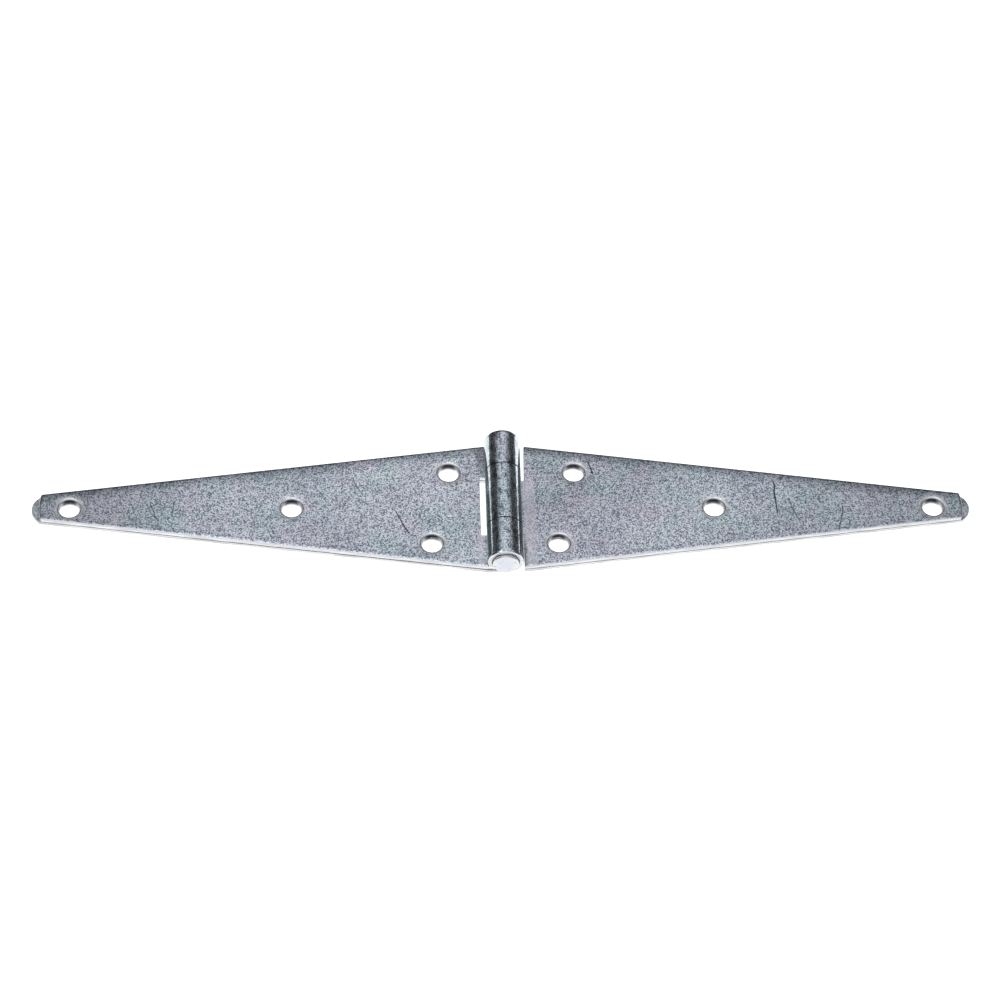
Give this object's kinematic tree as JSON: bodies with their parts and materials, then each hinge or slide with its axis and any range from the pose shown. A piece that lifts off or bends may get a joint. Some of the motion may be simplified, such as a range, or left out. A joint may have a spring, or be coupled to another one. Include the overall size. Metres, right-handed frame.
{
  "type": "strap hinge",
  "caption": "Heavy strap hinge with long tapered leaves, each folded double round a captive pin, and plain through holes for screws.",
  "frame": {"origin": "on the plane of the leaves' flat backs, right under the middle of the pin", "axes": "+X along the swinging leaf, +Y along the pin, +Z out of the leaves' front faces, towards the barrel"},
  "size_m": [0.3048, 0.0512, 0.0118],
  "materials": {
    "zinc_plated_sheet": "bright zinc plate, finely mottled, with light scratches",
    "zinc_plated_pin": "bright zinc plate, smooth"
  },
  "bodies": {
    "fixed_side": {"fixed_leaf": "zinc_plated_sheet", "hinge_pin": "zinc_plated_pin"},
    "swinging_side": {"swinging_leaf": "zinc_plated_sheet"}
  },
  "joints": [
    {"name": "hinge_swing", "type": "hinge", "parent": "fixed_side", "child": "swinging_side", "pos_m": [0, 0, 0.0059], "axis": [0, -1, 0], "range_deg": [-90, 180]}
  ]
}
